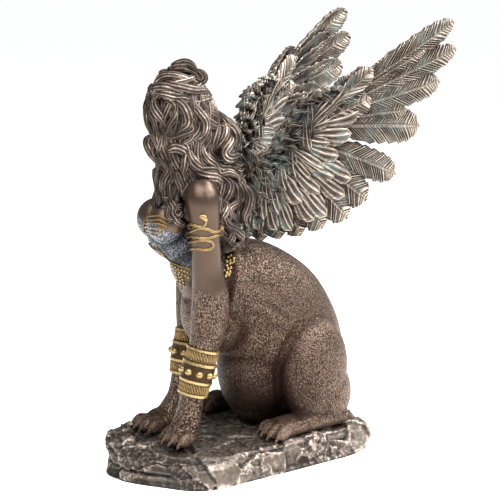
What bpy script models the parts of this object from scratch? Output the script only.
"""Seated winged sphinx on a rock, a cast statuette about 26 cm high.

The figure faces -Y, its left side is +X and +Z is up. The origin is on the flat
underside of the rock. Lengths in the tables are millimetres and become metres by MM.
"""

import math
import random

import bmesh
import bpy
from mathutils import Matrix, Vector

MM = 0.001

# Driving sizes, in millimetres
ROCK_TOP = 17.0
HEAD_CENTRE = Vector((0.0, -34.0, 197.0))
HEAD_TURN = math.radians(88)
CHEST_TURN = math.radians(19)
RIGHT_HIND_DROP = 2.0
WING_ROOT = Vector((16.0, 2.0, 172.0))
WING_SWEEP = math.radians(20)
JOINT_GAP = 0.3
FIGURE_VOXEL = 1.1
WING_VOXEL = 0.75
FIGURE_TRIANGLES = 6520
WING_TRIANGLES = 1620


def clear_scene():
    for obj in list(bpy.data.objects):
        bpy.data.objects.remove(obj)


def make_material(name, colour, roughness, metallic):
    material = bpy.data.materials.new(name)
    material.use_nodes = True
    shader = material.node_tree.nodes["Principled BSDF"]
    shader.inputs["Base Color"].default_value = (*colour, 1.0)
    shader.inputs["Roughness"].default_value = roughness
    shader.inputs["Metallic"].default_value = metallic
    return material


def blend(low, high, share):
    return low + (high - low) * share


# Closed shapes that the figure and the wings are fused from


def blob(bm, centre, radii, turn=None):
    """An ellipsoid; turn is a rotation matrix applied before it is put in place."""
    place = Matrix.Translation(Vector(centre))
    if turn is not None:
        place = place @ turn.to_4x4()
    place = place @ Matrix.Diagonal((*radii, 1.0))
    bmesh.ops.create_uvsphere(bm, u_segments=20, v_segments=12, radius=1.0, matrix=place)


def ring_frame(points, index, side_hint):
    """The two directions across a path at one of its points."""
    ahead = points[min(index + 1, len(points) - 1)] - points[max(index - 1, 0)]
    ahead.normalize()
    across = side_hint - ahead * side_hint.dot(ahead)
    across.normalize()
    return across, ahead.cross(across), ahead


def limb(bm, stations, sides=16, side_hint=(1.0, 0.0, 0.0), lobes=0, depth=0.0):
    """A closed loft along stations of (x, y, z, radius across, radius deep).

    With lobes, the section is ridged along its length, as a lock of hair is.
    """
    points = [Vector(s[:3]) for s in stations]
    hint = Vector(side_hint)
    rings = []
    for index, station in enumerate(stations):
        across, deep, ahead = ring_frame(points, index, hint)
        wide, thick = station[3], station[4] if len(station) > 4 else station[3]
        ring = []
        for side in range(sides):
            angle = 2 * math.pi * side / sides
            ridge = 1 + depth * math.cos(lobes * angle) if lobes else 1.0
            offset = across * math.cos(angle) * wide + deep * math.sin(angle) * thick
            ring.append(bm.verts.new(points[index] + offset * ridge))
        rings.append(ring)
        hint = across
    for low, high in zip(rings, rings[1:]):
        for side in range(sides):
            beyond = (side + 1) % sides
            bm.faces.new((low[side], low[beyond], high[beyond], high[side]))
    for ring, station, end in ((rings[0], stations[0], 0), (rings[-1], stations[-1], -1)):
        near = points[1] if end == 0 else points[-2]
        outward = (points[end] - near).normalized() * min(station[3], station[-1]) * 0.5
        tip = bm.verts.new(points[end] + outward)
        for side in range(sides):
            pair = (ring[side], ring[(side + 1) % sides])
            bm.faces.new((tip, *(pair if end else pair[::-1])))


def smooth_path(points, steps):
    """Points along a Catmull-Rom curve through the given ones, which may carry radii."""
    rows = [tuple(points[0]), *map(tuple, points), tuple(points[-1])]
    found = []
    for before, start, end, after in zip(rows, rows[1:], rows[2:], rows[3:]):
        for step in range(steps):
            t = step / steps
            found.append(
                tuple(
                    0.5
                    * (
                        2 * p1
                        + (p2 - p0) * t
                        + (2 * p0 - 5 * p1 + 4 * p2 - p3) * t * t
                        + (3 * p1 - p0 - 3 * p2 + p3) * t**3
                    )
                    for p0, p1, p2, p3 in zip(before, start, end, after)
                )
            )
    found.append(tuple(points[-1]))
    return found


# The lion: barrel, haunches, feet and tail


def lion_body(bm):
    spine = [
        (0, -13, 104, 24, 27),
        (0, 9, 97, 28, 32),
        (0, 25, 82, 32, 36),
        (0, 39, 63, 34, 35),
        (0, 43, 42, 33, 32),
        (0, 43, 27, 30, 29),
    ]
    limb(bm, smooth_path(spine, 4), sides=28)
    blob(bm, (0, 20, 50), (25, 26, 35))
    blob(bm, (0, -12, 88), (21, 20, 26))


def hind_leg(bm, side):
    lean = Matrix.Rotation(math.radians(-8), 3, "X")
    blob(bm, (31 * side, 38, 50), (14.5, 22, 32), lean)
    blob(bm, (27 * side, 46, 36), (17, 19, 22))
    foot = [
        (33, 56, 24, 7.5, 8),
        (34, 44, 23, 7.5, 7),
        (36, 28, 22.5, 7.5, 6.2),
        (37, 14, 22.5, 8.5, 6.5),
        (37.5, 6, 22, 9, 5.5),
    ]
    sunk = 0 if side > 0 else RIGHT_HIND_DROP
    limb(bm, smooth_path([(x * side, y, z - sunk, a, b) for x, y, z, a, b in foot], 3))
    toes(bm, Vector((37.5 * side, 5, 20 - sunk)), side, spread=10)


def toes(bm, ball, side, spread, turn=0.0):
    """Four rounded toes with claws, fanned across the front of a paw."""
    for number in range(4):
        share = number / 3 - 0.5
        reach = 8.5 - 9 * share * share
        heading = turn + share * 0.5
        ahead = Vector((math.sin(heading), -math.cos(heading), 0))
        root = ball + Vector((share * spread * 1.7, 3, 0))
        tip = root + ahead * reach
        limb(
            bm,
            [
                (*root, 3.3, 4.2),
                (*(root + ahead * reach * 0.5 + Vector((0, 0, 1.0))), 3.5, 4.3),
                (*tip, 3.1, 3.5),
            ],
            sides=10,
        )
        claw = tip + ahead * 1.6 + Vector((0, 0, -0.4))
        limb(bm, [(*claw, 1.2), (*(claw + ahead * 2.4 + Vector((0, 0, -2.0))), 0.5)], sides=6)


def tail(bm):
    route = [
        (2, 65, 34, 6),
        (4, 74.5, 24, 5.5),
        (0, 79, 20.5, 4.6),
        (-14, 78, 20, 4.2),
        (-30, 66, 20, 4.0),
        (-41, 46, 20, 3.8),
        (-43, 28, 20, 4.4),
        (-42, 16, 20.5, 5.6),
        (-40, 8, 20, 2.0),
    ]
    limb(bm, smooth_path(route, 4), sides=10, side_hint=(0, 0, 1))


# The woman: chest, arms that end as forelegs, neck and head


def chest(bm):
    turn = Matrix.Rotation(-CHEST_TURN, 3, "Z")
    blob(bm, (1, -31, 146), (20, 12.5, 19), turn)
    blob(bm, (1, -30, 160), (23, 9.5, 9), turn)
    blob(bm, (-1, -32, 133), (17.5, 18.5, 15), turn)
    blob(bm, (0, -26, 119), (17, 15, 18), turn)
    blob(bm, (0, -17, 108), (20, 17, 18))
    for centre in ((7.0, -48.5, 143.5), (-14.0, -44.5, 143.5)):
        blob(bm, centre, (11.5, 12, 12), turn)
        blob(bm, (centre[0], centre[1] + 6, centre[2] + 7), (9, 9, 11), turn)
    limb(bm, [(0, -30, 160, 9.5), (0, -31, 168, 7.2), (0, -33, 178, 6.6), (0, -34, 188, 7)])


LEFT_ARM = [
    (20, -35, 163, 9),
    (24.5, -36.5, 158, 9.6),
    (25, -35.5, 147, 8.8),
    (25, -34.5, 135, 8.3),
    (24, -33, 118, 8.6),
    (23.5, -30.5, 101, 10.6),
    (22, -31, 85, 10.2),
    (20, -33.4, 71, 8.4),
    (19, -36.6, 59.6, 7.4),
    (18.5, -38.7, 51, 7.1),
    (17.5, -41.2, 36.4, 7.2),
    (17, -45, 25, 8.4),
]
RIGHT_ARM = [
    (-18, -21, 163, 9),
    (-22.5, -20.5, 158, 9.6),
    (-23, -18.5, 147, 8.8),
    (-23, -17, 135, 8.3),
    (-22, -15, 118, 8.6),
    (-21.5, -13, 101, 10.6),
    (-20, -14.5, 85, 10.2),
    (-18.5, -17.5, 71, 8.4),
    (-18.5, -21.5, 57.5, 7.4),
    (-18, -23, 46, 7.1),
    (-18, -26, 34, 7.3),
    (-18, -32, 24.5, 8.4),
]


def forelimb(bm, arm, side):
    limb(bm, smooth_path(arm, 3), sides=18)
    wrist = Vector(arm[-1][:3])
    ball = Vector((17.5 * side, -50, 22)) if side > 0 else Vector((-17.5, -46, 20.5))
    blob(bm, blend(wrist, ball, 0.6), (9.5, 12, 6.5))
    blob(bm, ball, (10, 9, 6))
    toes(bm, ball + Vector((0, 2, -1.5)), side, spread=10)


def bracelets(bm, arm, low, high):
    """A raised cuff of three bands round the wrist, between two heights."""
    line = smooth_path(arm, 10)
    inside = [p for p in line if low < p[2] < high]
    top, bottom = Vector(inside[0][:3]), Vector(inside[-1][:3])
    bands = ((0.0, 9.3), (0.30, 8.9), (0.32, 9.8), (0.68, 9.4), (0.70, 8.6), (1.0, 8.3))
    limb(bm, [(*blend(top, bottom, share), radius) for share, radius in bands], sides=18)


def face_frame():
    """Directions out of the face, to its left and up, for the turned head."""
    out = Vector((-math.sin(HEAD_TURN), -math.cos(HEAD_TURN), 0))
    return out, Vector((0, 0, 1)).cross(out), Vector((0, 0, 1))


def head(bm):
    out, left, up = face_frame()
    turn = Matrix((left, out, up)).transposed()

    def feature(ahead, aside, above, radii, tilt=0.0):
        centre = HEAD_CENTRE + out * ahead + left * aside + up * above
        blob(bm, centre, radii, turn @ Matrix.Rotation(tilt, 3, "X"))

    feature(-1.5, 0, 3.5, (12.2, 13.5, 13.5))
    feature(3.5, 0, -5, (9.2, 9.0, 11.5))
    feature(8.2, 0, -14.2, (3.6, 3.4, 2.9))
    feature(13.0, 0, -3.4, (1.5, 2.2, 4.6), math.radians(-18))
    feature(11.4, 0, -9.7, (3.4, 2.0, 1.5))
    for side in (-1, 1):
        feature(10.2, 4.4 * side, 1.9, (3.6, 2.0, 1.2))
        feature(9.2, 4.4 * side, -0.9, (2.3, 2.2, 1.4))
        feature(7.2, 5.6 * side, -5.6, (3.4, 3.6, 3.4))


# The hair: a cap, a coiled bun, bands across the crown and long waved locks

# Where the locks end, from the front round the near side and down the back
LOCK_ENDS = (
    (4, -58, 141), (12, -59, 141), (18, -50, 147), (28, -27, 140), (29, -19, 114),
    (22, -10, 110), (11, -6, 118), (0, -2, 124), (-12, 0, 122), (-25, -4, 120), (-27, -15, 140),
)
LOCK_COUNT = 17
LOCK_SWAY = 3.8


def hair_mass(bm):
    out, left, up = face_frame()
    turn = Matrix((left, out, up)).transposed()
    blob(bm, HEAD_CENTRE - out * 5 + up * 8, (17, 13, 14.5), turn)
    blob(bm, HEAD_CENTRE - out * 9 - up * 9, (14, 8, 17), turn)
    blob(bm, (10, -17, 181), (9, 9, 17), Matrix.Rotation(math.radians(18), 3, "X"))
    blob(bm, (9, -14, 160), (13, 8, 20))
    blob(bm, (15, -15, 131), (14, 8, 23))
    blob(bm, (-8, -8, 148), (12, 8, 24))
    bun = HEAD_CENTRE + Vector((1.7, -3.5, 23))
    blob(bm, bun, (12, 13, 9.5))
    coil = []
    for step in range(19):
        angle = step * math.radians(42)
        reach = blend(13.0, 5.0, step / 18)
        coil.append(
            (
                bun.x + reach * math.cos(angle),
                bun.y + reach * 1.1 * math.sin(angle),
                bun.z + blend(-4.5, 10.5, step / 18),
                4.2,
                3.4,
            )
        )
    limb(bm, smooth_path(coil, 2), sides=8, side_hint=(0, 0, 1))


def hair_bands(bm):
    """Thick strands drawn across the crown under the bun."""
    out, left, up = face_frame()
    for tilt, rise, reach in ((-24, 6, 17.5), (0, 11, 16.5), (22, 5, 17.5)):
        rows = []
        for step in range(9):
            angle = math.radians(blend(-78, 78, step / 8))
            aside = math.sin(angle) * (reach + 3)
            ahead = math.cos(angle) * reach * math.sin(math.radians(tilt)) - 4
            height = rise + math.cos(angle) * reach * 0.85
            spot = HEAD_CENTRE + left * aside + out * ahead + up * height
            rows.append((*spot, 4.4, 3.2))
        limb(bm, smooth_path(rows, 2), sides=8, side_hint=out)


def lock_end(share):
    place = share * (len(LOCK_ENDS) - 1)
    index = min(int(place), len(LOCK_ENDS) - 2)
    return blend(Vector(LOCK_ENDS[index]), Vector(LOCK_ENDS[index + 1]), place - index)


def hair_locks(bm):
    """Long locks that leave the crown, frame the face and fall over the shoulders."""
    out, left, up = face_frame()
    chance = random.Random(7)

    def round_head(degrees, reach, rise):
        angle = math.radians(degrees)
        return HEAD_CENTRE + (out * math.cos(angle) + left * math.sin(angle)) * reach + up * rise

    for number in range(LOCK_COUNT):
        share = number / (LOCK_COUNT - 1)
        middle = 1 - abs(2 * share - 1)
        start = round_head(blend(35, 325, share), 10, 19)
        temple = round_head(blend(68, 292, share), 19, 6)
        cheek = round_head(blend(80, 280, share), 18, -9)
        nape = round_head(blend(92, 268, share), blend(14, 19, middle), -23)
        end = lock_end(share)
        fall = blend(nape, end, 0.5) + (nape - HEAD_CENTRE).normalized() * 2.5
        aside = (cheek - HEAD_CENTRE).cross(up).normalized()
        rows = []
        for spot, wide in ((start, 3), (temple, 3.5), (cheek, 3.7), (nape, 3.6), (fall, 3.7)):
            rows.append((*spot, wide, wide))
        rows.append((*end, 1.8, 1.5))
        path = smooth_path(rows, 5)
        phase = chance.uniform(0, 6.28)
        swayed = []
        for index, row in enumerate(path):
            along = index / (len(path) - 1)
            sway = aside * (LOCK_SWAY * math.sin(phase + 13 * along) * min(1, 0.2 + along))
            swayed.append((*(Vector(row[:3]) + sway), *row[3:]))
        limb(bm, swayed, sides=8, side_hint=aside)


# The rock: stacked, broken slabs


def slab(bm, outline, low, high, seed, rough=1.6, inset=2.0):
    """A closed slab over an outline, with a worn upper edge and uneven sides."""
    chance = random.Random(seed)
    middle = Vector((sum(p[0] for p in outline), sum(p[1] for p in outline), 0)) / len(outline)
    loop = smooth_path([(*p, 0.0) for p in [*outline, outline[0]]], 3)[:-1]
    levels = ((low, 0.0), (blend(low, high, 0.5), 0.3), (high - inset, 0.0), (high, 1.0))
    rings = []
    for level, pull in levels:
        ring = []
        for point in loop:
            spot = Vector(point)
            inward = (middle - spot).normalized()
            spot += inward * (pull * inset + chance.uniform(-rough, rough) * 0.5)
            lift = chance.uniform(-rough, rough) * 0.5 if level > low else 0.0
            ring.append(bm.verts.new((spot.x, spot.y, level + lift)))
        rings.append(ring)
    size = len(loop)
    for below, above in zip(rings, rings[1:]):
        for i in range(size):
            j = (i + 1) % size
            bm.faces.new((below[i], below[j], above[j], above[i]))
    for ring, level, facing in ((rings[0], low, -1), (rings[-1], high, 1)):
        centre = bm.verts.new((middle.x, middle.y, level))
        for i in range(size):
            pair = (ring[i], ring[(i + 1) % size])
            bm.faces.new((centre, *(pair if facing > 0 else pair[::-1])))


ROCK_OUTLINE = [
    (-20, -75), (-4, -84), (15, -81), (34, -70), (49, -59), (54, -44), (53, -18), (52, 9),
    (50, 32), (48, 54), (41, 73), (26, 83), (2, 89), (-22, 87), (-40, 74), (-47, 50),
    (-47, 10), (-46, -30), (-38, -61),
]


def rock(bm):
    slab(bm, ROCK_OUTLINE, -3, 13, seed=3, rough=2.4, inset=3.0)
    slab(bm, [(x * 0.93, y * 0.92 + 1) for x, y in ROCK_OUTLINE], 4, ROCK_TOP, seed=5, rough=3)
    far_ledge = [(-34, -50), (-25, -71), (-10, -79), (2, -72), (-5, -63), (-20, -57)]
    slab(bm, far_ledge, 6, 20, seed=11)
    rear_ledge = [(38, 46), (32, 64), (18, 76), (0, 83), (-22, 82), (-34, 66), (-20, 40), (20, 34)]
    slab(bm, rear_ledge, 6, 19, seed=13)


def paint(obj, colour, roughness, metallic):
    obj.data.materials.append(make_material(obj.name, colour, roughness, metallic))


# Wings: long feathers round the outline, and rows of short rounded coverts over them

# Heading in degrees, reach from the wing's root and full width of each long feather
LONG_FEATHERS = (
    (33, 128, 13), (33.6, 152, 15), (27.8, 147, 16), (21.5, 131, 18), (11.5, 113, 22),
    (-3.5, 95, 21), (-17.5, 78, 22), (-29, 68, 20), (-41, 56, 18), (-54, 50, 15),
    (-67, 44, 13), (-80, 41, 12), (-92, 38, 12),
)
# Share of the long feathers' reach at the top and the foot of a row, width, how many
COVERT_ROWS = ((0.55, 0.76, 16, 9), (0.40, 0.50, 13, 8), (0.25, 0.30, 10, 7))
LEADING_COVERTS = (((34, 27), (79, 54), 11), ((30, 30), (55, 43), 9))
ARM_LINE = ((5, 0, 8), (14, 7, 7.5), (22, 19, 7), (29, 31, 6.5), (39, 37, 5), (50, 41, 3))
RIGHT_WING_RAISE = math.radians(3.5)
RIGHT_WING_SETBACK = 4.5
WING_BOW = 1.8
LEFT_WING_TWIST = 0.2
FEATHER_THICK = 2.4


def inward(a, b, side):
    """How far a wing's surface has turned in from its plane, towards the other wing."""
    curl = 0.0012 * max(0.0, a - 40) ** 2
    if side < 0:
        return curl
    twist = LEFT_WING_TWIST * (0.64 * a + 12 - b) * min(1.0, max(0.0, (a - 40) / 70))
    return curl + max(0.0, twist)


def wing_point(a, b, c, side):
    """A place on a wing, a back along it, b up and c out from its middle surface."""
    h = Vector((math.sin(WING_SWEEP), math.cos(WING_SWEEP), 0))
    n = Vector((math.cos(WING_SWEEP), -math.sin(WING_SWEEP), 0))
    out = c - inward(a, b, side)
    b += WING_BOW * math.sin(math.pi * a / 95)
    if side < 0:
        a, b = Matrix.Rotation(RIGHT_WING_RAISE, 2) @ Vector((a, b))
        a += RIGHT_WING_SETBACK
    spot = WING_ROOT + h * a + Vector((0, 0, b)) + n * out
    return Vector((spot.x * side, spot.y, spot.z))


def feather(bm, base, tip, wide, lift, side, steps=7):
    """A closed blade from base to tip in the wing's plane, with a round end."""
    start, end = Vector(base), Vector(tip)
    along = end - start
    across = Vector((-along.y, along.x)).normalized()
    top, low = [], []
    for step in range(steps + 1):
        t = step / steps
        rounding = max(0.0, (t - 0.72) / 0.28)
        spread = wide / 2 * math.sqrt(max(0.07, 1 - rounding**2.6))
        spread *= 0.6 + 0.4 * min(1.0, t / 0.4)
        arch = lift * (1 - 0.4 * t)
        rows = ([], [])
        for place, rise in ((-1, -0.3), (-0.5, 0.3), (0, 0.5), (0.5, 0.3), (1, -0.3)):
            spot = start + along * t + across * place * spread
            for row, drop in zip(rows, (0.0, FEATHER_THICK)):
                height = arch + rise * FEATHER_THICK - drop
                row.append(bm.verts.new(wing_point(spot.x, spot.y, height, side)))
        top.append(rows[0])
        low.append(rows[1])
    new = []
    for i in range(steps):
        for j in range(4):
            new.append(bm.faces.new((top[i][j], top[i][j + 1], top[i + 1][j + 1], top[i + 1][j])))
            new.append(bm.faces.new((low[i][j + 1], low[i][j], low[i + 1][j], low[i + 1][j + 1])))
        new.append(bm.faces.new((top[i][0], top[i + 1][0], low[i + 1][0], low[i][0])))
        new.append(bm.faces.new((top[i + 1][4], top[i][4], low[i][4], low[i + 1][4])))
    for j in range(4):
        new.append(bm.faces.new((top[0][j + 1], top[0][j], low[0][j], low[0][j + 1])))
        new.append(bm.faces.new((top[-1][j], top[-1][j + 1], low[-1][j + 1], low[-1][j])))
    bmesh.ops.recalc_face_normals(bm, faces=new)


def polar(heading, reach):
    angle = math.radians(heading)
    return Vector((math.cos(angle), math.sin(angle))) * reach


def shaft_root(heading):
    """Where a feather leaves the wing's arm: high for the tall ones, low for the last."""
    top, foot = LONG_FEATHERS[0][0], LONG_FEATHERS[-1][0]
    share = (heading - foot) / (top - foot)
    return Vector((3, -9)).lerp(Vector((44, 29)), share**1.3)


def reach_at(heading):
    """How far the long feathers reach at a heading between two of them."""
    for (high, far, _), (low, near, _) in zip(LONG_FEATHERS, LONG_FEATHERS[1:]):
        if low <= heading <= high:
            return blend(near, far, (heading - low) / (high - low))
    return LONG_FEATHERS[-1][1]


def wing(bm, side):
    for heading, reach, wide in LONG_FEATHERS:
        feather(bm, shaft_root(heading), polar(heading, reach), wide, 0.6, side)
    top, foot = LONG_FEATHERS[2][0], LONG_FEATHERS[-1][0]
    for row, (high, low, wide, count) in enumerate(COVERT_ROWS):
        for number in range(count):
            share = number / (count - 1)
            heading = blend(top, foot, share)
            tip = polar(heading, reach_at(heading) * blend(high, low, share))
            base = shaft_root(heading) * 0.7
            for face in (-1, 1):
                lift = (1.5 + 1.0 * row) * face + (0.4 if face > 0 else FEATHER_THICK - 0.6)
                feather(bm, base, tip, wide, lift, side, steps=5)
    for base, tip, wide in LEADING_COVERTS:
        for lift in (-1.0, 2.6):
            feather(bm, base, tip, wide, lift, side, steps=5)
    bone = [(*wing_point(a, b, 0, side), thick, thick * 0.6) for a, b, thick in ARM_LINE]
    root = wing_point(-10, -4, 0, side)
    limb(bm, [(*root, 9.5, 6.5), *bone], sides=14, side_hint=(0, 1, 0))


def joint_plane(side, offset):
    """A point and the outward direction of the flat joint between back and wing."""
    ahead = Vector((math.sin(WING_SWEEP) * side, math.cos(WING_SWEEP), 0))
    return wing_point(-4, 0, 0, side) + ahead * offset, ahead


# Fusing, thinning and cutting


def fused(name, bm, voxel, smoothing, triangles):
    """One closed mesh from overlapping closed shapes, with few triangles."""
    mesh = bpy.data.meshes.new(name)
    bm.to_mesh(mesh)
    bm.free()
    mesh.transform(Matrix.Scale(MM, 4))
    obj = bpy.data.objects.new(name, mesh)
    bpy.context.scene.collection.objects.link(obj)
    remesh = obj.modifiers.new("Fuse", "REMESH")
    remesh.mode = "VOXEL"
    remesh.voxel_size = voxel * MM
    smooth = obj.modifiers.new("Soften", "SMOOTH")
    smooth.factor = 0.5
    smooth.iterations = smoothing
    bake_modifiers(obj)
    thin = obj.modifiers.new("Thin", "DECIMATE")
    faces = sum(len(p.vertices) - 2 for p in obj.data.polygons)
    thin.ratio = min(1.0, triangles / faces)
    bake_modifiers(obj)
    return obj


def bake_modifiers(obj):
    graph = bpy.context.evaluated_depsgraph_get()
    done = bpy.data.meshes.new_from_object(obj.evaluated_get(graph))
    old = obj.data
    obj.modifiers.clear()
    obj.data = done
    bpy.data.meshes.remove(old)


def clear_behind_joint(figure, side):
    """Cuts the figure flat where a wing sits on it, and clears room for the wing."""
    point, ahead = joint_plane(side, 0.0)
    across = Vector((ahead.y, -ahead.x, 0))
    low, high = 127.0, 262.0
    bm = bmesh.new()
    corners = []
    for level in (low, high):
        for deep, wide in ((0, -14), (0, 30), (50, 30), (50, -14)):
            spot = point + ahead * deep + across * wide * side
            corners.append(bm.verts.new(Vector((spot.x, spot.y, level)) * MM))
    for face in ((0, 1, 2, 3), (4, 7, 6, 5), (0, 4, 5, 1), (1, 5, 6, 2), (2, 6, 7, 3), (3, 7, 4, 0)):
        bm.faces.new([corners[i] for i in face])
    bmesh.ops.recalc_face_normals(bm, faces=bm.faces[:])
    mesh = bpy.data.meshes.new("joint_room")
    bm.to_mesh(mesh)
    bm.free()
    cutter = bpy.data.objects.new("joint_room", mesh)
    bpy.context.scene.collection.objects.link(cutter)
    cut = figure.modifiers.new("Joint", "BOOLEAN")
    cut.operation = "DIFFERENCE"
    cut.solver = "EXACT"
    cut.object = cutter
    bake_modifiers(figure)
    bpy.data.objects.remove(cutter)


def cut_flat(obj, point, outward):
    """Removes what lies beyond a plane, in millimetres, and closes the cut."""
    bm = bmesh.new()
    bm.from_mesh(obj.data)
    geometry = bm.verts[:] + bm.edges[:] + bm.faces[:]
    bmesh.ops.bisect_plane(
        bm,
        geom=geometry,
        dist=1e-7,
        plane_co=Vector(point) * MM,
        plane_no=outward,
        clear_outer=True,
    )
    rim = [e for e in bm.edges if e.is_boundary]
    bmesh.ops.holes_fill(bm, edges=rim, sides=0)
    bmesh.ops.triangulate(bm, faces=bm.faces[:])
    bm.to_mesh(obj.data)
    bm.free()


def build_figure():
    bm = bmesh.new()
    lion_body(bm)
    chest(bm)
    head(bm)
    hair_mass(bm)
    hair_bands(bm)
    hair_locks(bm)
    tail(bm)
    for side, arm, cuff in ((1, LEFT_ARM, (45, 73)), (-1, RIGHT_ARM, (46, 74))):
        hind_leg(bm, side)
        forelimb(bm, arm, side)
        bracelets(bm, arm, *cuff)
        boss = wing_point(-4, 0, 0, side)
        back = Vector((8 * side, -16, 160))
        limb(bm, [(*back, 9), (*boss, 8.5)], sides=14)
    rock(bm)
    figure = fused("sphinx_on_rock", bm, FIGURE_VOXEL, 3, FIGURE_TRIANGLES)
    cut_flat(figure, (0, 0, 0), (0, 0, -1))
    for side in (1, -1):
        clear_behind_joint(figure, side)
    paint(figure, (0.16, 0.10, 0.07), 0.45, 0.8)
    return figure


def build_wing(name, side):
    bm = bmesh.new()
    wing(bm, side)
    obj = fused(name, bm, WING_VOXEL, 1, WING_TRIANGLES)
    point, ahead = joint_plane(side, JOINT_GAP)
    cut_flat(obj, point, -ahead)
    paint(obj, (0.24, 0.20, 0.15), 0.4, 0.8)
    return obj


clear_scene()
build_figure()
build_wing("left_wing", 1)
build_wing("right_wing", -1)
